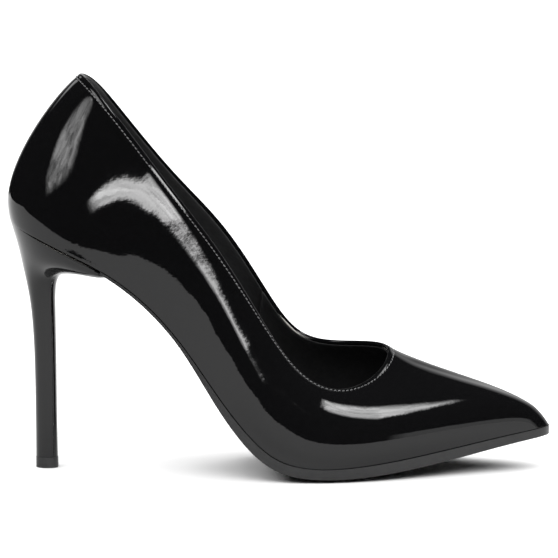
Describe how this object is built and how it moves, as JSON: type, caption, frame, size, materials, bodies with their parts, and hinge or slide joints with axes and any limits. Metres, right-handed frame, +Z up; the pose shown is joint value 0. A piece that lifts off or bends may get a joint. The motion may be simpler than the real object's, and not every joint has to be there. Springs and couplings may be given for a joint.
{
  "type": "high heel pump",
  "caption": "Pointed-toe stiletto pump for the right foot in black patent leather, with a wrapped slim heel, thin outsole and stitched topline.",
  "frame": {"origin": "centre of the shoe's box seen from above, on the floor", "axes": "+X to the toe tip, +Y to the inner side of the foot, +Z up"},
  "size_m": [0.2214, 0.0754, 0.1618],
  "materials": {
    "patent_upper": "black patent leather, mirror gloss with a slight orange peel",
    "lining_leather": "matte black lining leather",
    "suede": "black suede with a short nap",
    "stiffener": "thermoplastic sheet, hidden",
    "backing_cloth": "woven backing cloth and tape, hidden",
    "thread": "black bonded thread",
    "insole_fibre": "cellulose insole board",
    "spring_steel": "hardened strip steel",
    "bright_steel": "zinc plated steel",
    "cork": "granulated cork, hidden",
    "foam": "latex foam, hidden",
    "outsole_black": "smooth black resin rubber",
    "heel_plastic": "moulded black styrene",
    "lift_black": "dense black polyurethane"
  },
  "bodies": {
    "root": {"upper": "patent_upper", "toe_puff": "stiffener", "heel_counter": "stiffener", "interlining_outer": "backing_cloth", "interlining_inner": "backing_cloth", "topline_tape": "backing_cloth", "vamp_lining": "lining_leather", "quarter_lining_outer": "lining_leather", "quarter_lining_inner": "lining_leather", "heel_grip": "suede", "topline_stitching": "thread", "insole_board": "insole_fibre", "shank_board": "insole_fibre", "steel_shank": "spring_steel", "shank_rivets": "bright_steel", "bottom_filler": "cork", "ball_pad": "foam", "heel_pad": "foam", "sock_lining": "lining_leather", "outsole": "outsole_black", "heel_block": "heel_plastic", "heel_cover": "patent_upper", "heel_breast_flap": "patent_upper", "heel_tube": "bright_steel", "heel_screw": "bright_steel", "heel_nails": "bright_steel", "top_lift": "lift_black", "top_lift_dowel": "bright_steel"}
  },
  "joints": []
}
